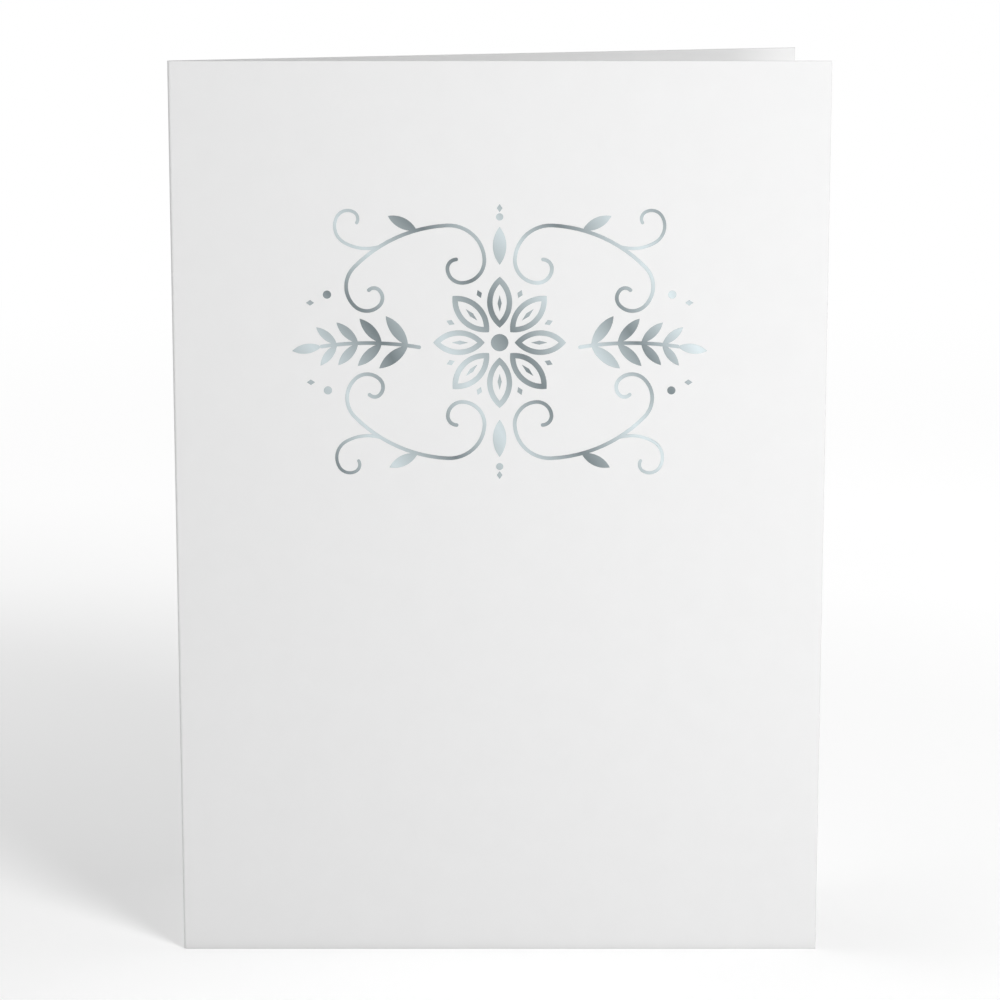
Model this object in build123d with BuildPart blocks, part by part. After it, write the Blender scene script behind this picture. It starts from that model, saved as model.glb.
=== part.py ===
from build123d import *
from math import degrees
import os

os.makedirs("parts", exist_ok=True)

# Greeting card: one sheet of white card stock, folded once and stood on its bottom edges, with a
# foil ornament stamped on the front. Millimetres. The origin is the foot of the fold, Z runs up
# the fold, the front leaf lies along X and its printed side faces -Y.

# Folded sheet
leaf_width = 127.0
leaf_height = 177.8
stock_thickness = 0.4
opening_angle = 15.0
fold_radius = 0.55  # outside of the fold
bead_root = 0.5  # the score's bead leaves the inner faces this far from the fold's axis
bead_crown = 0.62

# Foil
foil_thickness = 0.05
hair_line = 0.62
thin_line = 0.72
bold_line = 1.05
ornament_drop = 54.4  # top edge of the card to the middle of the ornament

# Rosette in the middle of the ornament
petal_count = 8
petal_foot = 3.6  # from the rosette's centre
petal_length = 8.6
petal_width = 3.8
vein_orbit = 7.7  # middle of the vein, from the rosette's centre
vein_length = 3.2
vein_width = 0.8
seed_orbit = 10.3
seed_length = 1.7
seed_width = 1.1
eye_radius = 1.7

# Laurel branch on each side of the rosette
branch_start = 15.6
branch_sink = 0.9  # its foot lies this far under the rosette's centre
branch_rise = 9.5  # degrees at its foot
branch_radius = 60.0
pair_count = 4
first_pair = 2.2  # along the branch, from its foot
pair_spacing = 5.1
leaf_length = 7.2
leaf_slimness = 0.31  # width as a share of length
leaf_spread = 46.0  # degrees from the branch
pair_shrink = 0.9  # each pair of leaves to the one before
tip_stalk = 3.0  # last pair to the leaf at the tip
tip_leaf_length = 5.8
tip_leaf_width = 1.9

# Scroll in each quarter: a long back with a volute at both ends
scroll_shoulder = (10.2, 22.85)
scroll_dip = -3.0  # degrees at the shoulder
back_radius = 27.0
back_turn = 43.0
outer_volute = 5.3
inner_volute = 6.9
volute_shrink = 0.64  # radius of each quarter turn to the one before
volute_quarters = 4

# Tendril and bud that grow from the scroll's back
tendril_place = 0.674  # share of the back's length
tendril_lift = 14.0
tendril_radius = 8.5
tendril_turn = 48.0
tendril_volute = 3.7
tendril_quarters = 3
bud_place = 0.29
bud_lift = 42.0
bud_length = 6.2
bud_width = 2.1

# Leaf, pearl and spark above and below the rosette, and a berry and spark beside the laurel
crest_foot = 15.2
crest_length = 7.4
crest_width = 2.6
pearl_height = 24.5
pearl_radius = 0.7
berry_place = (33.4, 9.4)
berry_radius = 0.8
spark_length = 1.6
spark_width = 1.1
top_spark_height = 26.2
side_spark_place = (36.7, 7.8)

leaf_reach = leaf_width - fold_radius


def heading(angle):
    return Vector(1, 0).rotate(Axis.Z, angle)


def curl(start, direction, first_radius, quarters, hand):
    """Volute of quarter turns, each smaller than the one before."""
    for turn in range(quarters):
        arc = JernArc(start, direction, first_radius * volute_shrink**turn, 90 * hand)
        start = arc @ 1
        direction = arc % 1


def pointed_leaf(length, width):
    """Leaf with its foot at the origin and its tip along X."""
    with BuildSketch() as leaf:
        with BuildLine():
            SagittaArc((0, 0), (length, 0), width / 2)
            SagittaArc((length, 0), (0, 0), width / 2)
        make_face()
    return leaf.sketch


def lozenge(length, width):
    """Diamond with its middle at the origin and its long way along X."""
    with BuildSketch() as diamond:
        Polygon((length / 2, 0), (0, width / 2), (-length / 2, 0), (0, -width / 2))
    return diamond.sketch


# Card sheet: the section across the fold, drawn once and run up the card's height
with BuildPart() as card_sheet:
    with BuildSketch(Plane.XY):
        with BuildLine():
            spine = CenterArc((0, 0), fold_radius, 90 + opening_angle, 180 - opening_angle)
            back_outside = PolarLine(spine @ 0, leaf_reach, opening_angle)
            back_edge = PolarLine(back_outside @ 1, stock_thickness, opening_angle - 90)
            back_inside = PolarLine(back_edge @ 1, leaf_reach - bead_root, opening_angle + 180)
            front_outside = PolarLine(spine @ 1, leaf_reach, 0)
            front_edge = PolarLine(front_outside @ 1, stock_thickness, 90)
            front_inside = PolarLine(front_edge @ 1, leaf_reach - bead_root, 180)
            crown = heading(opening_angle / 2) * bead_crown
            ThreePointArc(front_inside @ 1, crown, back_inside @ 1)
        make_face()
    extrude(amount=leaf_height)
card_sheet.part.label = "card_sheet"
export_step(card_sheet.part, "parts/card_sheet.step")

# Rosette: outlined petals with a vein each, a seed between each two, and the eye
petal_blade = pointed_leaf(petal_length, petal_width)
vein = lozenge(vein_length, vein_width)
seed = lozenge(seed_length, seed_width)
with BuildSketch() as petal:
    offset(petal_blade, amount=bold_line / 2, kind=Kind.INTERSECTION)
    offset(petal_blade, amount=-bold_line / 2, mode=Mode.SUBTRACT)
with BuildSketch() as rosette:
    with PolarLocations(petal_foot, petal_count):
        add(petal.sketch)
    with PolarLocations(vein_orbit, petal_count):
        add(vein)
    with PolarLocations(seed_orbit, petal_count, start_angle=180 / petal_count):
        add(seed)
    Circle(eye_radius)

# Laurel: pairs of leaves that shrink along a bent stem, and one leaf at its tip
pair_places = [first_pair]
for pair in range(1, pair_count):
    pair_places.append(pair_places[-1] + pair_spacing * pair_shrink ** (pair - 1))
pair_leaves = []
for pair in range(pair_count):
    length = leaf_length * pair_shrink**pair
    pair_leaves.append(pointed_leaf(length, length * leaf_slimness))
tip_leaf = pointed_leaf(tip_leaf_length, tip_leaf_width)
stem_length = pair_places[-1] + tip_stalk
bend = degrees(stem_length / branch_radius)
with BuildSketch() as laurel:
    with BuildLine():
        stem = JernArc((branch_start, -branch_sink), heading(branch_rise), branch_radius, -bend)
        offset(amount=thin_line / 2)
    make_face()
    for place, leaf in zip(pair_places, pair_leaves):
        share = place / stem_length
        for spread in (leaf_spread, -leaf_spread):
            with Locations(Location(stem @ share, (0, 0, branch_rise - bend * share + spread))):
                add(leaf)
    with Locations(Location(stem @ 1, (0, 0, branch_rise - bend))):
        add(tip_leaf)
    mirror(about=Plane.YZ)

# Scrollwork: a quarter of it, mirrored across both middle lines
bud = pointed_leaf(bud_length, bud_width)
spark = lozenge(spark_length, spark_width)
with BuildSketch() as scrollwork:
    with BuildLine():
        back = JernArc(scroll_shoulder, heading(scroll_dip), back_radius, -back_turn)
        curl(back @ 1, back % 1, outer_volute, volute_quarters, -1)
        curl(back @ 0, -(back % 0), inner_volute, volute_quarters, 1)
        offset(amount=thin_line / 2)
    make_face()
    with BuildLine():
        tendril_way = heading(scroll_dip - back_turn * tendril_place + tendril_lift)
        tendril = JernArc(back @ tendril_place, tendril_way, tendril_radius, tendril_turn)
        curl(tendril @ 1, tendril % 1, tendril_volute, tendril_quarters, 1)
        offset(amount=hair_line / 2)
    make_face()
    with Locations(Location(back @ bud_place, (0, 0, scroll_dip - back_turn * bud_place + bud_lift))):
        add(bud)
    with Locations(berry_place):
        Circle(berry_radius)
    with Locations(side_spark_place):
        add(spark)
    mirror(about=Plane.YZ)
    mirror(about=Plane.XZ)

# Crest: a leaf, a pearl and a spark above the rosette, and the same below
crest_leaf = pointed_leaf(crest_length, crest_width)
with BuildSketch() as crest:
    with Locations(Location((0, crest_foot), (0, 0, 90))):
        add(crest_leaf)
    with Locations((0, pearl_height)):
        Circle(pearl_radius)
    with Locations(Location((0, top_spark_height), (0, 0, 90))):
        add(spark)
    mirror(about=Plane.XZ)

# Foil: the whole ornament in one film on the front leaf's printed side
front_middle = (leaf_reach - fold_radius) / 2
ornament_middle = (front_middle, -fold_radius, leaf_height - ornament_drop)
front_side = Plane(ornament_middle, x_dir=(1, 0, 0), z_dir=(0, -1, 0))
with BuildPart() as foil_ornament:
    with BuildSketch(front_side):
        add(rosette.sketch)
        add(laurel.sketch)
        add(scrollwork.sketch)
        add(crest.sketch)
    extrude(amount=foil_thickness)
foil_ornament.part.label = "foil_ornament"
export_step(foil_ornament.part, "parts/foil_ornament.step")
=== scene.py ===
from math import asin, ceil, cos, degrees, pi, radians, sin, tan

import bmesh
import bpy
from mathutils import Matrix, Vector


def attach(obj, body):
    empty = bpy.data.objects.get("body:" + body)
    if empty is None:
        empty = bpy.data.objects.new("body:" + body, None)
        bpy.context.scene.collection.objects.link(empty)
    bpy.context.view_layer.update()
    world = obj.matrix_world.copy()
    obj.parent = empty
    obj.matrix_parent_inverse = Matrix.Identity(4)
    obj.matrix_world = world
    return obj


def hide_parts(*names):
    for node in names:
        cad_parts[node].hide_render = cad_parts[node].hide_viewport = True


# A folded greeting card of white card stock that stands a little open, with a silver foil ornament
# on its front. Sizes are in millimetres, turned to metres where Blender needs them.

mm = 0.001

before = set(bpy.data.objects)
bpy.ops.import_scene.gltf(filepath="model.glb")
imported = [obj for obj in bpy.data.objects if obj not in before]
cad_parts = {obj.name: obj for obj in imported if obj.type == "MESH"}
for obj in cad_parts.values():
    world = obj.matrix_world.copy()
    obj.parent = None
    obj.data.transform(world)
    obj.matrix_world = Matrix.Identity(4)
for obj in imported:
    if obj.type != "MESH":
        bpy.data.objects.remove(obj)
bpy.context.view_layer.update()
print("frame loaded:", ", ".join(sorted(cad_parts)))

drafting = {
    "nodesInRow": 12,  # in the node editor
    "nodeSpacing": (190, -320),
    "curveSteps": 12,  # between two points of a drawn path
    "mostTurn": 90,  # degrees in one Bezier piece of an arc
}


def linear(hexColour):
    # sRGB hex to the linear colour that Blender's sockets hold
    channels = [int(hexColour[i:i + 2], 16) / 255 for i in (1, 3, 5)]
    return (*(c / 12.92 if c <= 0.04045 else ((c + 0.055) / 1.055) ** 2.4 for c in channels), 1.0)


def heading(way):
    # the unit vector that points this many degrees round from X
    return Vector((cos(radians(way)), sin(radians(way))))


def newObject(name, data):
    made = bpy.data.objects.new(name, data)
    bpy.context.scene.collection.objects.link(made)
    return made


def addNode(tree, kind, sockets=None, **settings):
    # A node with its settings and links. A socket takes a value, a socket, a node's first output,
    # or a list where it joins several; "captured" names a node's captured items with their kinds.
    # A Mix node's sockets 2 and 3 are its numbers, 6 and 7 its colours.
    node = tree.nodes.new(kind)
    row, column = divmod(len(tree.nodes), drafting["nodesInRow"])
    node.location = Vector(drafting["nodeSpacing"]) * Vector((column, row))
    for label, item in settings.pop("captured", {}).items():
        node.capture_items.new(item, label)
    for name, value in settings.items():
        setattr(node, name, value)
    for key, value in (sockets or {}).items():
        for source in value if isinstance(value, list) else [value]:
            if isinstance(source, bpy.types.Node):
                source = source.outputs[0]
            if isinstance(source, bpy.types.NodeSocket):
                tree.links.new(source, node.inputs[key])
            else:
                node.inputs[key].default_value = source
    return node


def emptyTree(owner):
    # the cleared node tree of a new material or world
    owner.use_nodes = True
    owner.node_tree.nodes.clear()
    return owner.node_tree


def newTree(name, **inputs):
    # a Geometry Nodes tree with these inputs of each kind, and the sockets that give them inside it
    tree = bpy.data.node_groups.new(name, "GeometryNodeTree")
    for kind, labels in inputs.items():
        for label in labels:
            tree.interface.new_socket(name=label, in_out="INPUT", socket_type="NodeSocket" + kind)
    tree.interface.new_socket(name="Geometry", in_out="OUTPUT", socket_type="NodeSocketGeometry")
    return tree, addNode(tree, "NodeGroupInput").outputs


def endTree(tree, geometry, material):
    real = addNode(tree, "GeometryNodeRealizeInstances", {"Geometry": geometry})
    coated = addNode(tree, "GeometryNodeSetMaterial", {"Geometry": real, "Material": material})
    addNode(tree, "NodeGroupOutput", {"Geometry": coated})


def grow(name, tree, values):
    # runs a tree with the values that it asks for by name and keeps the result as a plain mesh
    host = newObject(name, bpy.data.meshes.new(name))
    modifier = host.modifiers.new(name, "NODES")
    modifier.node_group = tree
    for socket in tree.interface.items_tree:
        if socket.in_out == "INPUT":
            modifier[socket.identifier] = values[socket.name]
    evaluated = host.evaluated_get(bpy.context.evaluated_depsgraph_get())
    mesh = bpy.data.meshes.new_from_object(evaluated)
    host.modifiers.clear()
    host.data = mesh
    mesh.name = name
    print(f"{name}: {len(mesh.polygons)} faces")
    return host


def endRounding(tree, index, last, steps):
    # For a row of sections whose two ends are rounded in this many steps each: a section's count
    # from the last one, and the sine and cosine of its place on the rounding's quarter circle,
    # which stay 1 and 0 between the roundings.
    fromLast = addNode(tree, "ShaderNodeMath", {0: last, 1: index}, operation="SUBTRACT")
    fromEnd = addNode(tree, "ShaderNodeMath", {0: index, 1: fromLast}, operation="MINIMUM")
    share = addNode(
        tree, "ShaderNodeMath", {0: fromEnd, 1: steps}, operation="DIVIDE", use_clamp=True)
    angle = addNode(tree, "ShaderNodeMath", {0: share, 1: pi / 2}, operation="MULTIPLY")
    sine = addNode(tree, "ShaderNodeMath", {0: angle}, operation="SINE")
    cosine = addNode(tree, "ShaderNodeMath", {0: angle}, operation="COSINE")
    return fromLast, sine, cosine


def newPaths(name):
    # an empty curve object that holds drawn paths for a tree
    curve = bpy.data.curves.new(name, "CURVE")
    curve.dimensions = "3D"
    curve.resolution_u = drafting["curveSteps"]
    return newObject(name, curve)


def arcEnd(place, way, radius, turn):
    # where an arc ends that starts at this place with this heading, and its heading there
    chord = 2 * radius * sin(radians(abs(turn)) / 2)
    return place + chord * heading(way + turn / 2), way + turn


def drawPath(paths, place, way, steps, width=0.0, closed=False):
    # One Bezier spline. A step is (radius, turn) for an arc, (length, 0) for a straight run and
    # (0, turn) for a corner. The width travels along as the points' radius. Each side of a point
    # has a heading and its handle's length, or None beside a straight run.
    points = [{"at": place, "left": (way, 0.0), "right": (way, 0.0)}]
    for size, turn in steps:
        if size == 0:
            way += turn
            points[-1]["right"] = (way, 0.0)
            continue
        pieces = max(1, ceil(abs(turn) / drafting["mostTurn"]))
        for _ in range(pieces):
            if turn:
                handle = 4 / 3 * tan(radians(abs(turn) / pieces) / 4) * size
                place, nextWay = arcEnd(place, way, size, turn / pieces)
            else:
                handle = None
                place, nextWay = place + size * heading(way), way
            points[-1]["right"] = (way, handle)
            points.append({"at": place, "left": (nextWay, handle), "right": (nextWay, 0.0)})
            way = nextWay
    if closed:
        points[0]["left"] = points.pop()["left"]
    spline = paths.data.splines.new("BEZIER")
    spline.bezier_points.add(len(points) - 1)
    spline.use_cyclic_u = closed
    for knot, point in zip(spline.bezier_points, points):
        knot.co = (*(point["at"] * mm), 0)
        knot.radius = width / 2 * mm
        for side, sign in (("left", -1), ("right", 1)):
            angle, handle = point[side]
            setattr(knot, f"handle_{side}_type", "VECTOR" if handle is None else "FREE")
            if handle is not None:
                setattr(knot, f"handle_{side}", knot.co + sign * handle * mm * heading(angle).to_3d())
    return place, way


# Card stock

stockLook = {
    "sheet": "#F1F1F1",
    "shade": "#EEEEEE",  # the thin places of the sheet, a hair darker
    "cutEdge": "#DCDCDC",  # open fibres look greyer than the calendered faces
    "roughness": 0.62,
    "cutRoughness": 0.85,
    "relief": 0.02,  # mm that the tooth rises
    "reliefShows": 0.12,  # share of it, because the face is calendered
    # size is mm across a grain, and a stretch below 1 draws it out that way
    "grains": {
        "cloud": {  # where the fibres lie thicker and thinner
            "size": 6.0, "detail": 4, "roughness": 0.5, "stretch": (1, 1, 1)},
        "tooth": {  # really about 0.1 mm, too fine to show
            "size": 0.45, "detail": 3, "roughness": 0.6, "stretch": (1, 1, 1)},
        "fibre": {  # really a few hundredths of a mm wide, too fine to show
            "size": 0.9, "detail": 2, "roughness": 0.55, "stretch": (1, 1, 0.22)},
        "ply": {  # the layers that the knife lays open
            "size": 0.12, "detail": 2, "roughness": 0.5, "stretch": (0.15, 1, 1)},
    },
}


def whiteCardStock():
    # Calendered wood-free board of 350 g/m2: to the eye a matte, cool white with a hardly visible
    # tooth, a little rougher and furrier along the edges that the guillotine cut.
    material = bpy.data.materials.new("whiteCardStock")
    tree = emptyTree(material)
    where = addNode(tree, "ShaderNodeTexCoord").outputs["Object"]
    grains = {}
    for name, grain in stockLook["grains"].items():
        drawnOut = addNode(tree, "ShaderNodeMapping", {"Vector": where, "Scale": grain["stretch"]})
        grains[name] = addNode(
            tree, "ShaderNodeTexNoise",
            {"Vector": drawnOut, "Scale": 1 / (grain["size"] * mm), "Detail": grain["detail"],
             "Roughness": grain["roughness"]})
    cut = addNode(tree, "ShaderNodeAttribute", attribute_name="cutEdge").outputs["Fac"]
    body = addNode(
        tree, "ShaderNodeMix",
        {"Factor": grains["cloud"], 6: linear(stockLook["shade"]), 7: linear(stockLook["sheet"])},
        data_type="RGBA")
    colour = addNode(
        tree, "ShaderNodeMix",
        {"Factor": cut, 6: body.outputs[2], 7: linear(stockLook["cutEdge"])}, data_type="RGBA")
    rough = addNode(
        tree, "ShaderNodeMapRange",
        {"Value": cut, "To Min": stockLook["roughness"], "To Max": stockLook["cutRoughness"]})
    face = addNode(tree, "ShaderNodeMath", {0: grains["tooth"], 1: grains["fibre"]}, operation="ADD")
    height = addNode(tree, "ShaderNodeMix", {"Factor": cut, 2: face, 3: grains["ply"]})
    relief = addNode(
        tree, "ShaderNodeBump",
        {"Strength": stockLook["reliefShows"], "Distance": stockLook["relief"] * mm,
         "Height": height})
    shader = addNode(
        tree, "ShaderNodeBsdfPrincipled",
        {"Base Color": colour.outputs[2], "Roughness": rough, "IOR": 1.5, "Normal": relief})
    addNode(tree, "ShaderNodeOutputMaterial", {"Surface": shader})
    return material


stock = {
    "leafWidth": 127.0,
    "leafHeight": 177.8,
    "thickness": 0.4,
    "opening": 15.0,  # degrees between the leaves
    "foldRadius": 0.55,  # outside of the fold
    "beadRoot": 0.5,  # the score's bead leaves the inner faces this far from the fold's axis
    "beadCrown": 0.62,
    "beadLead": 1.0,  # the inner faces have a point of their own this far before the bead
    "corner": 0.09,  # rounding of the fore edges' corners
    "ease": 0.05,  # softness of the top and bottom edges, less than the corners' rounding
    "easeSteps": 3,
    "endTilt": 0.1,  # faces that look up or down by more than this share are cut ends
    "smallFace": 30.0,  # mm2; faces under this belong to a rounding and are shaded smooth
}


def sheetTree(material):
    # Runs the fold's section up the card's height and draws it in over the last few hundredths
    # of a millimetre, so that the cut edges are soft
    tree, given = newTree(
        "foldedSheet", Object=("Section",), Int=("Ease Steps",),
        Float=("Height", "Ease", "Leaf Reach", "Thickness", "End Tilt", "Small Face"))
    drawn = addNode(tree, "GeometryNodeObjectInfo", {"Object": given["Section"]})
    section = addNode(
        tree, "GeometryNodeResampleCurve", {"Curve": drawn.outputs["Geometry"]}, mode="EVALUATED")
    position = addNode(tree, "GeometryNodeInputPosition")
    inward = addNode(
        tree, "ShaderNodeVectorMath",
        {0: (0, 0, 1), 1: addNode(tree, "GeometryNodeInputTangent")}, operation="CROSS_PRODUCT")
    outline = addNode(
        tree, "GeometryNodeCaptureAttribute",
        {"Geometry": section, "place": position, "inward": inward},
        captured={"place": "VECTOR", "inward": "VECTOR"}).outputs

    # levels up the card: a short rounding, the whole height, a short rounding
    last = addNode(
        tree, "ShaderNodeMath", {0: given["Ease Steps"], 1: 2.0, 2: 1.0}, operation="MULTIPLY_ADD")
    count = addNode(tree, "ShaderNodeMath", {0: last, 1: 1.0}, operation="ADD")
    axis = addNode(tree, "GeometryNodeCurvePrimitiveLine", {"End": (0, 0, 1)})
    spine = addNode(tree, "GeometryNodeResampleCurve", {"Curve": axis, "Count": count})
    index = addNode(tree, "GeometryNodeInputIndex")
    fromTop, sine, cosine = endRounding(tree, index, last, given["Ease Steps"])
    inset, lift = (
        addNode(tree, "ShaderNodeMapRange", {"Value": part, "To Min": given["Ease"], "To Max": 0.0})
        for part in (sine, cosine))
    upper = addNode(tree, "ShaderNodeMath", {0: index, 1: fromTop}, operation="GREATER_THAN")
    highLift = addNode(tree, "ShaderNodeMath", {0: given["Height"], 1: lift}, operation="SUBTRACT")
    level = addNode(tree, "ShaderNodeMix", {"Factor": upper, 2: lift, 3: highLift})
    rings = addNode(
        tree, "GeometryNodeCaptureAttribute", {"Geometry": spine, "level": level, "inset": inset},
        captured={"level": "FLOAT", "inset": "FLOAT"}).outputs

    shell = addNode(
        tree, "GeometryNodeCurveToMesh",
        {"Curve": rings["Geometry"], "Profile Curve": outline["Geometry"], "Fill Caps": True})
    flat = addNode(
        tree, "ShaderNodeVectorMath",
        {0: outline["inward"], 1: rings["inset"], 2: outline["place"]}, operation="MULTIPLY_ADD")
    place = addNode(
        tree, "ShaderNodeVectorMath", {0: rings["level"], 1: (0, 0, 1), 2: flat},
        operation="MULTIPLY_ADD")
    card = addNode(tree, "GeometryNodeSetPosition", {"Geometry": shell, "Position": place})

    # the faces that the knife made: both ends, and both fore edges with their roundings
    normal = addNode(tree, "ShaderNodeSeparateXYZ", {0: addNode(tree, "GeometryNodeInputNormal")})
    tilt = addNode(tree, "ShaderNodeMath", {0: normal.outputs["Z"]}, operation="ABSOLUTE")
    ends = addNode(tree, "ShaderNodeMath", {0: tilt, 1: given["End Tilt"]}, operation="GREATER_THAN")
    fromFold = addNode(tree, "ShaderNodeVectorMath", {0: position, 1: (1, 1, 0)}, operation="MULTIPLY")
    distance = addNode(tree, "ShaderNodeVectorMath", {0: fromFold}, operation="LENGTH")
    foreEdge = addNode(
        tree, "ShaderNodeMath", {0: given["Leaf Reach"], 1: given["Thickness"]}, operation="SUBTRACT")
    fore = addNode(
        tree, "ShaderNodeMath", {0: distance.outputs["Value"], 1: foreEdge}, operation="GREATER_THAN")
    knife = addNode(tree, "ShaderNodeMath", {0: ends, 1: fore}, operation="MAXIMUM")
    noted = addNode(
        tree, "GeometryNodeStoreNamedAttribute",
        {"Geometry": card, "Name": "cutEdge", "Value": knife}, domain="FACE")
    area = addNode(tree, "GeometryNodeInputMeshFaceArea")
    small = addNode(tree, "ShaderNodeMath", {0: area, 1: given["Small Face"]}, operation="LESS_THAN")
    shaded = addNode(
        tree, "GeometryNodeSetShadeSmooth", {"Geometry": noted, "Shade Smooth": small}, domain="FACE")
    endTree(tree, shaded, material)
    return tree


def makeSheet(material):
    radius, wall, corner = stock["foldRadius"], stock["thickness"], stock["corner"]
    reach = stock["leafWidth"] - radius
    # the bead bulges between the inner faces; its arc is worked out on the line midway between them
    half = stock["opening"] / 2
    foot = Vector((stock["beadRoot"], wall - radius))
    footAngle = degrees(asin(foot.y / foot.length)) - half
    along = foot.length * cos(radians(footAngle))
    across = foot.length * sin(radians(footAngle))
    crown = stock["beadCrown"]
    beadCentre = (crown**2 - along**2 - across**2) / (2 * (crown - along))
    beadRadius = crown - beadCentre
    beadHalf = 90 + degrees(asin((beadCentre - along) / beadRadius))
    beadCorner = (0, half - beadHalf - 90)
    # the section goes round with the paper on its left, from the fold along the front leaf
    outside, lead = reach - corner, stock["beadLead"]
    inside = outside - lead - stock["beadRoot"]
    frontLeaf = [(outside, 0), (corner, 90), (wall - 2 * corner, 0), (corner, 90), (inside, 0), (lead, 0)]
    bead = [beadCorner, (beadRadius, 2 * beadHalf), beadCorner]
    fold = (radius, 180 - stock["opening"])
    section = newPaths("sheetSection")
    drawPath(
        section, Vector((0, -radius)), 0, [*frontLeaf, *bead, *reversed(frontLeaf), fold], closed=True)
    sheet = grow("cardSheet", sheetTree(material), {
        "Section": section,
        "Height": stock["leafHeight"] * mm,
        "Ease": stock["ease"] * mm,
        "Ease Steps": stock["easeSteps"],
        "Leaf Reach": reach * mm,
        "Thickness": wall * mm,
        "End Tilt": stock["endTilt"],
        "Small Face": stock["smallFace"] * mm * mm,
    })
    bpy.data.objects.remove(section)
    return sheet


cardSheet = makeSheet(whiteCardStock())
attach(cardSheet, "root")
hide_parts("card_sheet")
print("card sheet folded")


# Silver foil

foilLook = {
    # the two ends of a painted reflection: bright and dark bands in the foil's colour stand in for what
    # the metal reflects
    "bright": "#C5CFD2",
    "dark": "#757E81",
    "band": 21.0,  # mm from one bright band to the next
    "bandTurn": 38.0,  # degrees that the bands lean
    "wander": 16.0,  # mm, how far apart the bends of a band are
    "bend": 2.2,  # how strongly they bend
    "bendDetail": 1.0,
    "waveUnit": 0.314,  # metres from crest to crest of the Wave node at scale 1
    "roughness": (0.25, 0.37),  # from the tooth's hollows to its tops
    "grain": 0.5,  # mm, the paper's tooth that shows through; really about 0.1 mm
    "grainDetail": 2,
    "grainRoughness": 0.5,
    "relief": 0.01,  # mm that the tooth rises
    "reliefShows": 0.1,  # share of it that comes through the film
}


def silverFoil():
    # Hot-stamped aluminium foil under a clear lacquer: a satin silver, its colour painted from pale
    # to slate in soft slanting bands as a painted reflection, with the paper's tooth just breaking its
    # shine.
    material = bpy.data.materials.new("silverHotFoil")
    tree = emptyTree(material)
    where = addNode(tree, "ShaderNodeTexCoord").outputs["Object"]
    leaning = addNode(
        tree, "ShaderNodeMapping",
        {"Vector": where, "Rotation": (0, radians(foilLook["bandTurn"]), 0)})
    # painted reflection: slanting bands of pale and slate laid into the metal's colour
    reflectionBands = addNode(
        tree, "ShaderNodeTexWave",
        {"Vector": leaning, "Scale": foilLook["waveUnit"] / (foilLook["band"] * mm),
         "Distortion": foilLook["bend"], "Detail": foilLook["bendDetail"],
         "Detail Scale": foilLook["band"] / foilLook["wander"]},
        wave_profile="TRI")
    paintedReflection = addNode(
        tree, "ShaderNodeMix",
        {"Factor": reflectionBands.outputs["Fac"], 6: linear(foilLook["dark"]), 7: linear(foilLook["bright"])},
        data_type="RGBA")
    grain = addNode(
        tree, "ShaderNodeTexNoise",
        {"Vector": where, "Scale": 1 / (foilLook["grain"] * mm), "Detail": foilLook["grainDetail"],
         "Roughness": foilLook["grainRoughness"]})
    smoothest, roughest = foilLook["roughness"]
    rough = addNode(
        tree, "ShaderNodeMapRange", {"Value": grain, "To Min": smoothest, "To Max": roughest})
    relief = addNode(
        tree, "ShaderNodeBump",
        {"Strength": foilLook["reliefShows"], "Distance": foilLook["relief"] * mm, "Height": grain})
    shader = addNode(
        tree, "ShaderNodeBsdfPrincipled",
        {"Base Color": paintedReflection.outputs[2], "Metallic": 1.0, "Roughness": rough, "Normal": relief})
    addNode(tree, "ShaderNodeOutputMaterial", {"Surface": shader})
    return material


film = {
    "thickness": 0.05,
    "shoulder": 0.03,  # the film's rim falls off over this width
    "step": 0.2,  # between two sections of a line
    "capSteps": 6,  # sections in a line's round end
    "bladeSections": 15,  # in a pointed leaf, from tip to tip
    "lozengeSections": 3,
    "weld": 0.001,  # points nearer than this are one, as at a leaf's tip
    "seamWeld": 0.002,  # and where the parts of an island have been united
    "hairLine": 0.62,
    "thinLine": 0.72,
    "boldLine": 1.05,
    "drop": 54.4,  # top edge of the card to the middle of the ornament
}

rosette = {
    "petals": 8,
    "petalFoot": 3.6,
    "petalLength": 8.6,
    "petalWidth": 3.8,
    "petalSteps": 20,  # sections along each side of a petal
    "veinOrbit": 7.7,
    "veinLength": 3.2,
    "veinWidth": 0.8,
    "seedOrbit": 10.3,
    "seedLength": 1.7,
    "seedWidth": 1.1,
    "eyeRadius": 1.7,
}

laurel = {
    "start": 15.6,
    "sink": 0.9,
    "rise": 9.5,  # degrees at its foot
    "bend": 60.0,  # radius
    "pairs": 4,
    "firstPair": 2.2,
    "pairSpacing": 5.1,
    "leafLength": 7.2,
    "leafSlimness": 0.31,
    "leafSpread": 46.0,  # degrees from the stem
    "shrink": 0.9,
    "tipStalk": 3.0,
    "tipLength": 5.8,
    "tipWidth": 1.9,
}

scroll = {
    "shoulder": (10.2, 22.85),
    "dip": -3.0,  # degrees at the shoulder
    "backRadius": 27.0,
    "backTurn": 43.0,
    "outerVolute": 5.3,
    "innerVolute": 6.9,
    "voluteShrink": 0.64,
    "voluteQuarters": 4,
    "tendrilPlace": 0.674,  # share of the back
    "tendrilLift": 14.0,
    "tendrilRadius": 8.5,
    "tendrilTurn": 48.0,
    "tendrilVolute": 3.7,
    "tendrilQuarters": 3,
    "budPlace": 0.29,
    "budLift": 42.0,
    "budLength": 6.2,
    "budWidth": 2.1,
}

accents = {
    "crestFoot": 15.2,
    "crestLength": 7.4,
    "crestWidth": 2.6,
    "pearlHeight": 24.5,
    "pearlRadius": 0.7,
    "berry": (33.4, 9.4),
    "berryRadius": 0.8,
    "sparkLength": 1.6,
    "sparkWidth": 1.1,
    "topSpark": 26.2,
    "sideSpark": (36.7, 7.8),
    "dot": 0.01,  # length of the path under a round dot
}


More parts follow.
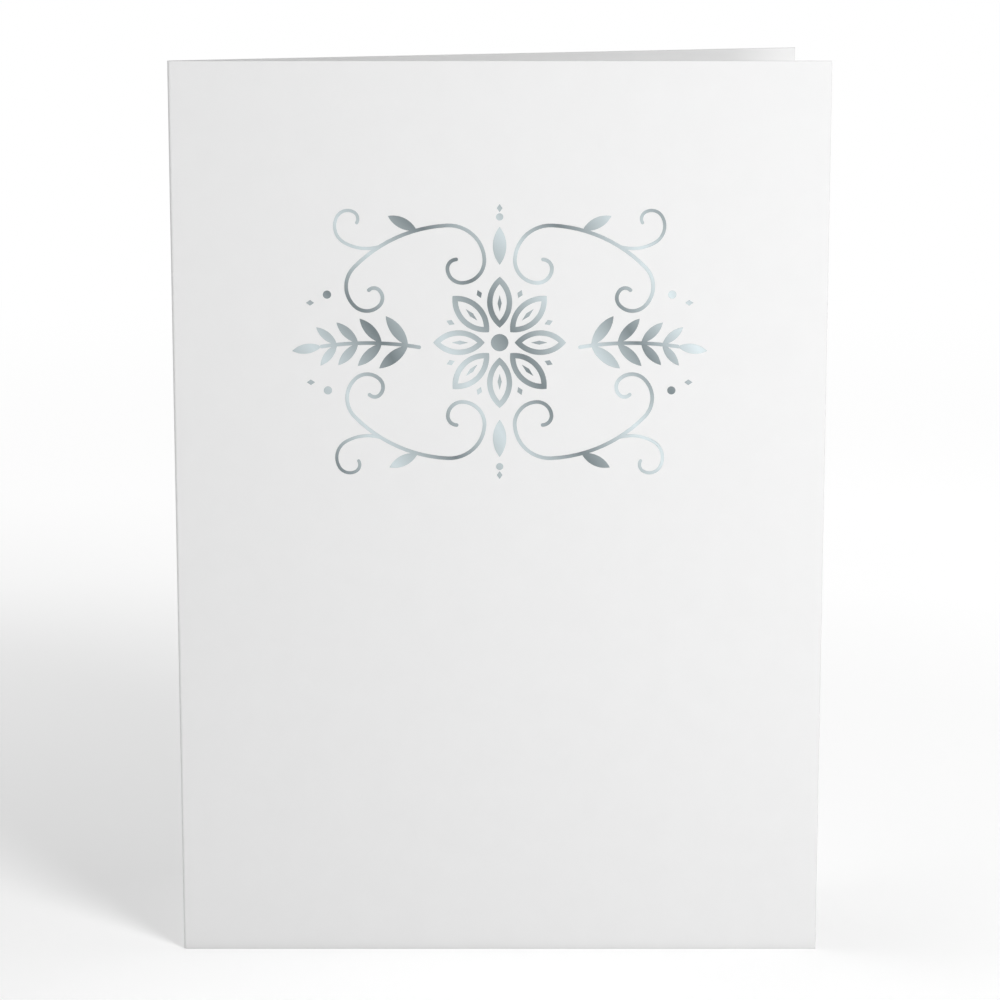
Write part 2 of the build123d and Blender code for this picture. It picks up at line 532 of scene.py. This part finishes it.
def filmSection(tree, given):
    # The film's section as a curve of four points: flat under, and drawn in by the shoulder on
    # top. Gives each point's side (-1 or 1), how far it is drawn in and how high it lies.
    square = addNode(tree, "GeometryNodeCurvePrimitiveQuadrilateral", {"Width": 2.0, "Height": 2.0})
    section = addNode(
        tree, "GeometryNodeCaptureAttribute",
        {"Geometry": square, "place": addNode(tree, "GeometryNodeInputPosition")},
        captured={"place": "VECTOR"}).outputs
    split = addNode(tree, "ShaderNodeSeparateXYZ", {0: section["place"]}).outputs
    upper = addNode(tree, "ShaderNodeMath", {0: split["Y"], 1: 0.0}, operation="GREATER_THAN")
    drawIn = addNode(tree, "ShaderNodeMath", {0: upper, 1: given["Shoulder"]}, operation="MULTIPLY")
    rise = addNode(tree, "ShaderNodeMath", {0: upper, 1: given["Film"]}, operation="MULTIPLY")
    return section["Geometry"], split["X"], drawIn, rise


def noteShape(tree, curves, **values):
    # what raiseFilm has to know of a path's sections: "half" is a section's half width, "girth" the
    # shape's widest one, and "past" how far the section lies past the shape's middle on the path
    for name, value in values.items():
        curves = addNode(
            tree, "GeometryNodeStoreNamedAttribute",
            {"Geometry": curves, "Name": name, "Value": value})
    return curves


def raiseFilm(tree, curves, given):
    # Sweeps flat paths into film that is closed all round. The top face is the underside's
    # outline drawn in toward the shape's own middle.
    path = addNode(
        tree, "GeometryNodeCaptureAttribute",
        {"Geometry": curves, "centre": addNode(tree, "GeometryNodeInputPosition"),
         "ahead": addNode(tree, "GeometryNodeInputTangent")},
        captured={"centre": "VECTOR", "ahead": "VECTOR"}).outputs
    half, girth, past = (
        addNode(tree, "GeometryNodeInputNamedAttribute", {"Name": name})
        for name in ("half", "girth", "past"))
    section, hand, drawIn, rise = filmSection(tree, given)
    tube = addNode(
        tree, "GeometryNodeCurveToMesh", {"Curve": path["Geometry"], "Profile Curve": section})
    lost = addNode(tree, "ShaderNodeMath", {0: drawIn, 1: girth}, operation="DIVIDE")
    kept = addNode(tree, "ShaderNodeMath", {0: 1.0, 1: lost}, operation="SUBTRACT")
    width = addNode(tree, "ShaderNodeMath", {0: half, 1: kept}, operation="MULTIPLY")
    side = addNode(tree, "ShaderNodeMath", {0: width, 1: hand}, operation="MULTIPLY")
    slip = addNode(tree, "ShaderNodeMath", {0: past, 1: lost}, operation="MULTIPLY")
    across = addNode(
        tree, "ShaderNodeVectorMath", {0: (0, 0, 1), 1: path["ahead"]}, operation="CROSS_PRODUCT")
    flat = addNode(
        tree, "ShaderNodeVectorMath", {0: across, 1: side, 2: path["centre"]},
        operation="MULTIPLY_ADD")
    forward = addNode(
        tree, "ShaderNodeVectorMath", {0: path["ahead"], "Scale": slip}, operation="SCALE")
    drawn = addNode(tree, "ShaderNodeVectorMath", {0: flat, 1: forward}, operation="SUBTRACT")
    place = addNode(
        tree, "ShaderNodeVectorMath", {0: rise, 1: (0, 0, 1), 2: drawn}, operation="MULTIPLY_ADD")
    raised = addNode(tree, "GeometryNodeSetPosition", {"Geometry": tube, "Position": place})
    return addNode(
        tree, "GeometryNodeRemoveAttribute", {"Geometry": raised, "Name": "*"},
        pattern_mode="WILDCARD")


def roundLines(tree, source, given):
    # lines of even width with round ends: the path is cut into even steps, and each end gets a
    # fan of sections past it whose widths follow a half circle
    spline = addNode(tree, "GeometryNodeSplineLength").outputs
    steps = addNode(tree, "ShaderNodeMath", {0: spline["Length"], 1: given["Step"]}, operation="DIVIDE")
    whole = addNode(tree, "ShaderNodeMath", {0: steps}, operation="CEIL")
    count = addNode(
        tree, "ShaderNodeMath", {0: given["Cap Steps"], 1: 2.0, 2: whole}, operation="MULTIPLY_ADD")
    sections = addNode(tree, "ShaderNodeMath", {0: count, 1: 1.0}, operation="ADD")
    cut = addNode(tree, "GeometryNodeResampleCurve", {"Curve": source, "Count": sections})
    spot = addNode(tree, "GeometryNodeCurveOfPoint").outputs
    index = spot["Index in Curve"]
    last = addNode(tree, "ShaderNodeMath", {0: spline["Point Count"], 1: 1.0}, operation="SUBTRACT")
    fromLast, sine, cosine = endRounding(tree, index, last, given["Cap Steps"])
    lastRun = addNode(tree, "ShaderNodeMath", {0: last, 1: given["Cap Steps"]}, operation="SUBTRACT")
    along = addNode(
        tree, "ShaderNodeMapRange",
        {"Value": index, "From Min": given["Cap Steps"], "From Max": lastRun})
    sampled = addNode(
        tree, "GeometryNodeSampleCurve",
        {"Curves": source, "Factor": along, "Curve Index": spot["Curve Index"]}).outputs
    ahead = addNode(tree, "ShaderNodeMath", {0: index, 1: fromLast}, operation="SUBTRACT")
    sense = addNode(tree, "ShaderNodeMath", {0: ahead}, operation="SIGN")
    girth = addNode(tree, "GeometryNodeInputRadius")
    half = addNode(tree, "ShaderNodeMath", {0: girth, 1: sine}, operation="MULTIPLY")
    over = addNode(tree, "ShaderNodeMath", {0: girth, 1: cosine}, operation="MULTIPLY")
    past = addNode(tree, "ShaderNodeMath", {0: over, 1: sense}, operation="MULTIPLY")
    offset = addNode(
        tree, "ShaderNodeVectorMath", {0: sampled["Tangent"], "Scale": past}, operation="SCALE")
    moved = addNode(
        tree, "GeometryNodeSetPosition",
        {"Geometry": cut, "Position": sampled["Position"], "Offset": offset})
    return noteShape(tree, moved, half=half, girth=girth, past=past)


def leafArc(tree, length, half):
    # A pointed leaf is two arcs over one chord. From its length and half width: half the length,
    # the arcs' radius, and how far past the leaf's axis each arc has its centre.
    reach = addNode(tree, "ShaderNodeMath", {0: length, 1: 0.5}, operation="MULTIPLY")
    reachSquare = addNode(tree, "ShaderNodeMath", {0: reach, 1: reach}, operation="MULTIPLY")
    squares = addNode(
        tree, "ShaderNodeMath", {0: half, 1: half, 2: reachSquare}, operation="MULTIPLY_ADD")
    width = addNode(tree, "ShaderNodeMath", {0: half, 1: 2.0}, operation="MULTIPLY")
    radius = addNode(tree, "ShaderNodeMath", {0: squares, 1: width}, operation="DIVIDE")
    toAxis = addNode(tree, "ShaderNodeMath", {0: radius, 1: half}, operation="SUBTRACT")
    return reach, radius, toAxis


def pointedLeaves(tree, source, sections):
    # with three sections, a leaf comes out as a lozenge
    cut = addNode(tree, "GeometryNodeResampleCurve", {"Curve": source, "Count": sections})
    spline = addNode(tree, "GeometryNodeSplineLength").outputs
    girth = addNode(tree, "GeometryNodeInputRadius")
    reach, radius, toAxis = leafArc(tree, spline["Length"], girth)
    index = addNode(tree, "GeometryNodeCurveOfPoint").outputs["Index in Curve"]
    last = addNode(tree, "ShaderNodeMath", {0: spline["Point Count"], 1: 1.0}, operation="SUBTRACT")
    fromMiddle = addNode(
        tree, "ShaderNodeMapRange", {"Value": index, "From Max": last, "To Min": -1.0, "To Max": 1.0})
    past = addNode(tree, "ShaderNodeMath", {0: fromMiddle, 1: reach}, operation="MULTIPLY")
    pastSquare = addNode(tree, "ShaderNodeMath", {0: past, 1: past}, operation="MULTIPLY")
    radiusSquare = addNode(tree, "ShaderNodeMath", {0: radius, 1: radius}, operation="MULTIPLY")
    rest = addNode(tree, "ShaderNodeMath", {0: radiusSquare, 1: pastSquare}, operation="SUBTRACT")
    height = addNode(tree, "ShaderNodeMath", {0: rest}, operation="SQRT")
    bulge = addNode(tree, "ShaderNodeMath", {0: height, 1: toAxis}, operation="SUBTRACT")
    half = addNode(tree, "ShaderNodeMath", {0: bulge, 1: 0.0}, operation="MAXIMUM")
    return noteShape(tree, cut, half=half, girth=girth, past=past)


def leafPairs(tree, stem, given):
    # axes of the laurel's leaves: pairs along the stem, each closer and smaller than the last
    index = addNode(tree, "GeometryNodeInputIndex")
    halfIndex = addNode(tree, "ShaderNodeMath", {0: index, 1: 2.0}, operation="DIVIDE")
    pair = addNode(tree, "ShaderNodeMath", {0: halfIndex}, operation="FLOOR")
    odd = addNode(tree, "ShaderNodeMath", {0: index, 1: 2.0}, operation="MODULO")
    hand = addNode(tree, "ShaderNodeMapRange", {"Value": odd, "To Min": -1.0, "To Max": 1.0})
    size = addNode(tree, "ShaderNodeMath", {0: given["Shrink"], 1: pair}, operation="POWER")
    place = addNode(
        tree, "ShaderNodeMapRange",
        {"Value": size, "From Min": 1.0, "From Max": given["Shrink"], "To Min": given["First Pair"],
         "To Max": given["Second Pair"]}, clamp=False)
    sampled = addNode(
        tree, "GeometryNodeSampleCurve", {"Curves": stem, "Length": place}, mode="LENGTH").outputs
    ahead = addNode(tree, "ShaderNodeSeparateXYZ", {0: sampled["Tangent"]}).outputs
    way = addNode(tree, "ShaderNodeMath", {0: ahead["Y"], 1: ahead["X"]}, operation="ARCTAN2")
    turned = addNode(
        tree, "ShaderNodeMath", {0: hand, 1: given["Leaf Spread"], 2: way}, operation="MULTIPLY_ADD")
    rotation = addNode(tree, "ShaderNodeCombineXYZ", {"Z": turned})
    length = addNode(tree, "ShaderNodeMath", {0: given["Leaf Length"], 1: size}, operation="MULTIPLY")
    feet = addNode(
        tree, "GeometryNodePoints", {"Count": given["Leaf Count"], "Position": sampled["Position"]})
    axis = addNode(tree, "GeometryNodeCurvePrimitiveLine", {"End": (1, 0, 0)})
    grown = addNode(
        tree, "GeometryNodeInstanceOnPoints",
        {"Points": feet, "Instance": axis, "Rotation": rotation, "Scale": length})
    real = addNode(tree, "GeometryNodeRealizeInstances", {"Geometry": grown})
    ownLength = addNode(tree, "GeometryNodeSplineLength").outputs["Length"]
    half = addNode(
        tree, "ShaderNodeMath", {0: ownLength, 1: given["Half Slimness"]}, operation="MULTIPLY")
    return addNode(tree, "GeometryNodeSetCurveRadius", {"Curve": real, "Radius": half})


def mirrored(tree, curves, wanted, scale):
    # adds the mirror image while the parts are still paths, so no face can turn inside out
    image = addNode(tree, "GeometryNodeTransform", {"Geometry": curves, "Scale": scale})
    both = addNode(tree, "GeometryNodeJoinGeometry", {"Geometry": [curves, image]})
    return addNode(
        tree, "GeometryNodeSwitch", {"Switch": wanted, "False": curves, "True": both},
        input_type="GEOMETRY")


def turnedCopies(tree, geometry, count):
    ring = addNode(tree, "GeometryNodePoints", {"Count": count})
    index = addNode(tree, "GeometryNodeInputIndex")
    share = addNode(tree, "ShaderNodeMath", {0: 2 * pi, 1: count}, operation="DIVIDE")
    angle = addNode(tree, "ShaderNodeMath", {0: index, 1: share}, operation="MULTIPLY")
    rotation = addNode(tree, "ShaderNodeCombineXYZ", {"Z": angle})
    return addNode(
        tree, "GeometryNodeInstanceOnPoints",
        {"Points": ring, "Instance": geometry, "Rotation": rotation})


def endFoil(tree, geometry, given, material):
    # leaves the film's faces flat and stands the ornament up against the front leaf
    crisp = addNode(
        tree, "GeometryNodeSetShadeSmooth", {"Geometry": geometry, "Shade Smooth": False})
    stood = addNode(
        tree, "GeometryNodeTransform",
        {"Geometry": crisp, "Translation": given["Middle"], "Rotation": (pi / 2, 0, 0)})
    endTree(tree, stood, material)


def stampTree(material):
    # the parts of the ornament that are drawn as paths, with their mirror images or turned copies
    tree, given = newTree(
        "stampedFoil", Object=("Lines", "Leaves", "Lozenges"), Bool=("Mirror Across", "Mirror Up"),
        Int=("Leaf Count", "Turns", "Cap Steps", "Blade Sections", "Lozenge Sections"),
        Float=("First Pair", "Second Pair", "Shrink", "Leaf Length", "Half Slimness", "Leaf Spread",
               "Film", "Shoulder", "Step", "Weld", "Seam Weld"),
        Vector=("Middle",))
    lines, leaves, sparks = (
        addNode(tree, "GeometryNodeObjectInfo", {"Object": given[label]}).outputs["Geometry"]
        for label in ("Lines", "Leaves", "Lozenges"))
    blades = addNode(
        tree, "GeometryNodeJoinGeometry", {"Geometry": [leaves, leafPairs(tree, lines, given)]})
    shapes = addNode(tree, "GeometryNodeJoinGeometry", {"Geometry": [
        roundLines(tree, lines, given), pointedLeaves(tree, blades, given["Blade Sections"]),
        pointedLeaves(tree, sparks, given["Lozenge Sections"])]})
    across = mirrored(tree, shapes, given["Mirror Across"], (-1, 1, 1))
    up = mirrored(tree, across, given["Mirror Up"], (1, -1, 1))
    copies = turnedCopies(tree, up, given["Turns"])
    real = addNode(tree, "GeometryNodeRealizeInstances", {"Geometry": copies})
    raised = raiseFilm(tree, real, given)
    closed = addNode(
        tree, "GeometryNodeMergeByDistance", {"Geometry": raised, "Distance": given["Weld"]})
    # leaves and tendrils run into the lines that they grow from: one skin around each island
    united = addNode(
        tree, "GeometryNodeMeshBoolean", {"Mesh 2": closed, "Self Intersection": True},
        operation="UNION", solver="EXACT")
    cleaned = addNode(
        tree, "GeometryNodeMergeByDistance", {"Geometry": united, "Distance": given["Seam Weld"]})
    endFoil(tree, cleaned, given, material)
    return tree


def petalTree(material):
    # Petals as rings with mitred tips. A circle of sections goes out along one side of the petal
    # and back along the other; both sides are arcs, and each section ends on the petal's axis.
    tree, given = newTree(
        "foilPetals", Int=("Petals", "Side Steps"),
        Float=("Foot", "Length", "Half Width", "Half Line", "Film", "Shoulder"), Vector=("Middle",))
    around = addNode(tree, "ShaderNodeMath", {0: given["Side Steps"], 1: 2.0}, operation="MULTIPLY")
    circle = addNode(tree, "GeometryNodeCurvePrimitiveCircle", {"Resolution": around})
    loop = addNode(
        tree, "GeometryNodeCaptureAttribute",
        {"Geometry": circle, "index": addNode(tree, "GeometryNodeInputIndex")},
        captured={"index": "FLOAT"}).outputs
    section, across, drawIn, rise = filmSection(tree, given)
    tube = addNode(
        tree, "GeometryNodeCurveToMesh", {"Curve": loop["Geometry"], "Profile Curve": section})
    width = addNode(tree, "ShaderNodeMath", {0: given["Half Line"], 1: drawIn}, operation="SUBTRACT")
    side = addNode(tree, "ShaderNodeMath", {0: width, 1: across}, operation="MULTIPLY")

    # each section's own radius and angle on the arc that its side of the petal follows
    reach, radius, toAxis = leafArc(tree, given["Length"], given["Half Width"])
    own = addNode(tree, "ShaderNodeMath", {0: radius, 1: side}, operation="ADD")
    ratio = addNode(tree, "ShaderNodeMath", {0: toAxis, 1: own}, operation="DIVIDE")
    widest = addNode(tree, "ShaderNodeMath", {0: ratio}, operation="ARCCOSINE")
    left = addNode(
        tree, "ShaderNodeMath", {0: given["Side Steps"], 1: loop["index"]}, operation="SUBTRACT")
    share = addNode(tree, "ShaderNodeMath", {0: left, 1: given["Side Steps"]}, operation="DIVIDE")
    fromTip = addNode(tree, "ShaderNodeMath", {0: share}, operation="ABSOLUTE")
    along = addNode(tree, "ShaderNodeMath", {0: fromTip, 1: -2.0, 2: 1.0}, operation="MULTIPLY_ADD")
    angle = addNode(tree, "ShaderNodeMath", {0: along, 1: widest}, operation="MULTIPLY")
    sine = addNode(tree, "ShaderNodeMath", {0: angle}, operation="SINE")
    cosine = addNode(tree, "ShaderNodeMath", {0: angle}, operation="COSINE")
    middle = addNode(tree, "ShaderNodeMath", {0: given["Foot"], 1: reach}, operation="ADD")
    x = addNode(tree, "ShaderNodeMath", {0: own, 1: sine, 2: middle}, operation="MULTIPLY_ADD")
    away = addNode(tree, "ShaderNodeMath", {0: own, 1: cosine}, operation="MULTIPLY")
    aside = addNode(tree, "ShaderNodeMath", {0: away, 1: toAxis}, operation="SUBTRACT")
    hand = addNode(tree, "ShaderNodeMath", {0: left}, operation="SIGN")
    y = addNode(tree, "ShaderNodeMath", {0: aside, 1: hand}, operation="MULTIPLY")
    place = addNode(tree, "ShaderNodeCombineXYZ", {"X": x, "Y": y, "Z": rise})
    petal = addNode(tree, "GeometryNodeSetPosition", {"Geometry": tube, "Position": place})
    endFoil(tree, turnedCopies(tree, petal, given["Petals"]), given, material)
    return tree


def drawDot(paths, middle, radius):
    foot = middle - Vector((accents["dot"] / 2, 0))
    drawPath(paths["Lines"], foot, 0, [(accents["dot"], 0)], 2 * radius)


def drawLeaf(paths, foot, way, length, width):
    drawPath(paths["Leaves"], foot, way, [(length, 0)], width)


def drawSpark(paths, middle, way, length=accents["sparkLength"], width=accents["sparkWidth"]):
    drawPath(paths["Lozenges"], middle - heading(way) * length / 2, way, [(length, 0)], width)


def volute(radius, quarters, turn):
    # quarter turns, each smaller than the one before
    return [(radius * scroll["voluteShrink"]**quarter, turn) for quarter in range(quarters)]


def onBack(share):
    # the place this share of the way along the scroll's back, and the heading there
    turn = -scroll["backTurn"] * share
    return arcEnd(Vector(scroll["shoulder"]), scroll["dip"], scroll["backRadius"], turn)


def drawScroll(paths):
    # one quarter: the long back with a volute at both ends, the tendril and bud on it, and the
    # berry and spark beside the laurel
    outer = volute(scroll["outerVolute"], scroll["voluteQuarters"], -90)
    inner = volute(scroll["innerVolute"], scroll["voluteQuarters"], 90)
    # the path starts in the eye of the inner volute, which is found from the shoulder
    place, way = Vector(scroll["shoulder"]), scroll["dip"] + 180
    for radius, turn in inner:
        place, way = arcEnd(place, way, radius, turn)
    fromEye = [(radius, -turn) for radius, turn in reversed(inner)]
    back = (scroll["backRadius"], -scroll["backTurn"])
    drawPath(paths["Lines"], place, way + 180, [*fromEye, back, *outer], film["thinLine"])

    place, way = onBack(scroll["tendrilPlace"])
    stalk = (scroll["tendrilRadius"], scroll["tendrilTurn"])
    tip = volute(scroll["tendrilVolute"], scroll["tendrilQuarters"], 90)
    drawPath(paths["Lines"], place, way + scroll["tendrilLift"], [stalk, *tip], film["hairLine"])

    place, way = onBack(scroll["budPlace"])
    drawLeaf(paths, place, way + scroll["budLift"], scroll["budLength"], scroll["budWidth"])
    drawDot(paths, Vector(accents["berry"]), accents["berryRadius"])
    drawSpark(paths, Vector(accents["sideSpark"]), 0)


def drawLaurel(paths):
    # the stem and the leaf at its tip; the pairs are set along the stem by the tree
    spaces = sum(laurel["shrink"] ** pair for pair in range(laurel["pairs"] - 1))
    length = laurel["firstPair"] + laurel["tipStalk"] + laurel["pairSpacing"] * spaces
    foot = Vector((laurel["start"], -laurel["sink"]))
    stem = (laurel["bend"], -degrees(length / laurel["bend"]))
    place, way = drawPath(paths["Lines"], foot, laurel["rise"], [stem], film["thinLine"])
    drawLeaf(paths, place, way, laurel["tipLength"], laurel["tipWidth"])


def drawCrest(paths):
    foot = Vector((0, accents["crestFoot"]))
    drawLeaf(paths, foot, 90, accents["crestLength"], accents["crestWidth"])
    drawDot(paths, Vector((0, accents["pearlHeight"])), accents["pearlRadius"])
    drawSpark(paths, Vector((0, accents["topSpark"])), 90)


def drawSeed(paths):
    # one petal's vein, and the seed between it and the next petal
    between = 180 / rosette["petals"]
    for part, way in (("vein", 0), ("seed", between)):
        drawSpark(
            paths, rosette[part + "Orbit"] * heading(way), way, rosette[part + "Length"],
            rosette[part + "Width"])


def drawEye(paths):
    drawDot(paths, Vector((0, 0)), rosette["eyeRadius"])


def makeFoil(material):
    radius = stock["foldRadius"]
    leafMiddle = (stock["leafWidth"] - radius - radius) / 2
    shared = {
        "Leaf Count": 0,
        "First Pair": laurel["firstPair"] * mm,
        "Second Pair": (laurel["firstPair"] + laurel["pairSpacing"]) * mm,
        "Shrink": laurel["shrink"],
        "Leaf Length": laurel["leafLength"] * mm,
        "Half Slimness": laurel["leafSlimness"] / 2,
        "Leaf Spread": radians(laurel["leafSpread"]),
        "Mirror Across": False,
        "Mirror Up": False,
        "Turns": 1,
        "Film": film["thickness"] * mm,
        "Shoulder": film["shoulder"] * mm,
        "Step": film["step"] * mm,
        "Cap Steps": film["capSteps"],
        "Blade Sections": film["bladeSections"],
        "Lozenge Sections": film["lozengeSections"],
        "Weld": film["weld"] * mm,
        "Seam Weld": film["seamWeld"] * mm,
        "Middle": Vector((leafMiddle, -radius, stock["leafHeight"] - film["drop"])) * mm,
    }
    motifs = {
        "foilScrolls": (drawScroll, {"Mirror Across": True, "Mirror Up": True}),
        "foilLaurels": (drawLaurel, {"Mirror Across": True, "Leaf Count": 2 * laurel["pairs"]}),
        "foilCrests": (drawCrest, {"Mirror Up": True}),
        "foilSeeds": (drawSeed, {"Turns": rosette["petals"]}),
        "foilEye": (drawEye, {}),
    }
    stamp = stampTree(material)
    parts = []
    for name, (draw, own) in motifs.items():
        paths = {kind: newPaths(name + kind) for kind in ("Lines", "Leaves", "Lozenges")}
        draw(paths)
        parts.append(grow(name, stamp, shared | paths | own))
        for drawn in paths.values():
            bpy.data.objects.remove(drawn)
    parts.append(grow("foilPetals", petalTree(material), shared | {
        "Petals": rosette["petals"],
        "Foot": rosette["petalFoot"] * mm,
        "Length": rosette["petalLength"] * mm,
        "Half Width": rosette["petalWidth"] / 2 * mm,
        "Half Line": film["boldLine"] / 2 * mm,
        "Side Steps": rosette["petalSteps"],
    }))
    # one film, as one die stamps it
    whole = bmesh.new()
    for part in parts:
        whole.from_mesh(part.data)
        bpy.data.objects.remove(part)
    mesh = bpy.data.meshes.new("foilOrnament")
    whole.to_mesh(mesh)
    whole.free()
    mesh.materials.append(material)
    return newObject("foilOrnament", mesh)


foilOrnament = makeFoil(silverFoil())
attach(foilOrnament, "root")
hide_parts("foil_ornament")
print("foil stamped")


# Camera, floor and light

view = {
    "place": (63.02, -670.7, 231.55),
    "pitch": 11.745,  # degrees under the horizon
    "lens": 125.84,
    "nearest": 50.0,  # what is nearer than this doesn't show
}

camera = newObject("camera", bpy.data.cameras.new("camera"))
camera.location = Vector(view["place"]) * mm
camera.rotation_euler = (radians(90 - view["pitch"]), 0, 0)
camera.data.lens = view["lens"]
camera.data.clip_start = view["nearest"] * mm
bpy.context.scene.camera = camera

bpy.context.scene.view_settings.view_transform = "Standard"

light = {
    "front": 0.17,  # the world's strength as the card's front sees it
    "back": 0.9,  # and from behind the card
    "aim": (62.5, 0, 60),
    "lamps": {  # azimuth is degrees to the right of straight in front, elevation is degrees up
        "key": {
            "azimuth": 36, "elevation": 33, "distance": 800, "width": 320, "height": 225,
            "watts": 2.2},
        "side": {
            "azimuth": 30, "elevation": 4.5, "distance": 400, "width": 160, "height": 160,
            "watts": 0.31},
    },
}


def seenRays(tree):
    # 1 for the rays that show a surface as it is, to the camera, in a reflection or through glass
    ray = addNode(tree, "ShaderNodeLightPath").outputs
    shown = addNode(
        tree, "ShaderNodeMath", {0: ray["Is Camera Ray"], 1: ray["Is Glossy Ray"]}, operation="MAXIMUM")
    return addNode(
        tree, "ShaderNodeMath", {0: shown, 1: ray["Is Transmission Ray"]}, operation="MAXIMUM")


def softWorld():
    # a white room for the eye; as light, softer from the front than from behind
    world = bpy.data.worlds.new("softWhite")
    tree = emptyTree(world)
    toward = addNode(
        tree, "ShaderNodeSeparateXYZ", {0: addNode(tree, "ShaderNodeTexCoord").outputs["Generated"]})
    lit = addNode(
        tree, "ShaderNodeMapRange",
        {"Value": toward.outputs["Y"], "From Min": -1.0, "From Max": 1.0,
         "To Min": light["front"], "To Max": light["back"]})
    strength = addNode(tree, "ShaderNodeMapRange", {"Value": seenRays(tree), "To Min": lit})
    sky = addNode(tree, "ShaderNodeBackground", {"Color": linear("#FFFFFF"), "Strength": strength})
    addNode(tree, "ShaderNodeOutputWorld", {"Surface": sky})
    return world


def addLamp(name, azimuth, elevation, distance, width, height, watts):
    azimuth, elevation = radians(azimuth), radians(elevation)
    toward = Vector((sin(azimuth) * cos(elevation), -cos(azimuth) * cos(elevation), sin(elevation)))
    data = bpy.data.lights.new(name, "AREA")
    data.shape = "ELLIPSE"
    data.size = width * mm
    data.size_y = height * mm
    data.energy = watts
    lamp = newObject(name, data)
    lamp.location = (Vector(light["aim"]) + toward * distance) * mm
    lamp.rotation_euler = toward.to_track_quat("Z", "Y").to_euler()
    lamp.visible_camera = False


paperSweep = {
    "colour": "#FAFAFA",
    "roughness": 0.9,
    "diffuseRoughness": 0.35,
    "size": 12.0,  # metres
    "middle": (40, -60),
    # painted light: what the eye gets besides the light that falls on the paper, at this far from its
    # middle; an even lift of the paper plus a painted pool, brighter just in front of the card and dimmer
    # round its sides
    "glow": {45: 0.205, 80: 0.16, 120: 0.142, 155: 0.17, 285: 0.256, 400: 0.35, 520: 0.39},
    "whiteRun": (390.0, 950.0),  # and the floor turns to plain white between these
    "footReach": 1.8,  # this near to what stands on it, the paper sends less light up,
    "footShare": 0.25,  # down to this share where it is covered
    "footRays": 4,
}


def sweepMaterial():
    # matte white background paper that runs out of sight as plain white
    material = bpy.data.materials.new("whitePaperSweep")
    tree = emptyTree(material)
    where = addNode(tree, "ShaderNodeTexCoord").outputs["Object"]
    centre = Vector((*paperSweep["middle"], 0)) * mm
    distance = addNode(
        tree, "ShaderNodeVectorMath", {0: where, 1: centre}, operation="DISTANCE").outputs["Value"]
    near, far = paperSweep["whiteRun"]
    white = addNode(
        tree, "ShaderNodeMapRange", {"Value": distance, "From Min": near * mm, "From Max": far * mm},
        interpolation_type="SMOOTHSTEP")
    furthest = max(paperSweep["glow"])
    share = addNode(tree, "ShaderNodeMapRange", {"Value": distance, "From Max": furthest * mm})
    course = addNode(tree, "ShaderNodeValToRGB", {"Fac": share})
    stops = course.color_ramp.elements
    stops.remove(stops[1])
    for place, value in paperSweep["glow"].items():
        stops.new(place / furthest).color = (value, value, value, 1)
    stops.remove(stops[0])

    # the eye gets the painted glow and the white run; the card gets the paper's light, less at its foot
    shown = seenRays(tree)
    plain = addNode(tree, "ShaderNodeMath", {0: white, 1: shown}, operation="MULTIPLY")
    glow = addNode(tree, "ShaderNodeMath", {0: course, 1: shown}, operation="MULTIPLY")
    uncovered = addNode(
        tree, "ShaderNodeAmbientOcclusion", {"Distance": paperSweep["footReach"] * mm},
        samples=paperSweep["footRays"])
    sent = addNode(
        tree, "ShaderNodeMapRange", {"Value": uncovered.outputs["AO"], "To Min": paperSweep["footShare"]})
    kept = addNode(tree, "ShaderNodeMapRange", {"Value": shown, "To Min": sent})
    colour = addNode(
        tree, "ShaderNodeVectorMath", {0: linear(paperSweep["colour"])[:3], "Scale": kept},
        operation="SCALE")
    paper = addNode(
        tree, "ShaderNodeBsdfPrincipled",
        {"Base Color": colour, "Roughness": paperSweep["roughness"],
         "Diffuse Roughness": paperSweep["diffuseRoughness"]})
    # painted light on the paper, an emission that only the eye sees
    paintedGlow = addNode(tree, "ShaderNodeEmission", {"Color": linear("#FFFFFF"), "Strength": glow})
    nothingBut = addNode(tree, "ShaderNodeEmission", {"Color": linear("#FFFFFF")})
    paperAndPaintedGlow = addNode(tree, "ShaderNodeAddShader", {0: paper, 1: paintedGlow})
    sweep = addNode(tree, "ShaderNodeMixShader", {0: plain, 1: paperAndPaintedGlow, 2: nothingBut})
    addNode(tree, "ShaderNodeOutputMaterial", {"Surface": sweep})
    return material


bpy.context.scene.world = softWorld()
bpy.ops.mesh.primitive_plane_add(size=paperSweep["size"])
floor = bpy.context.object
floor.name = "floor"
floor.data.materials.append(sweepMaterial())
for lampName, settings in light["lamps"].items():
    addLamp(lampName, **settings)
print("stage lit")
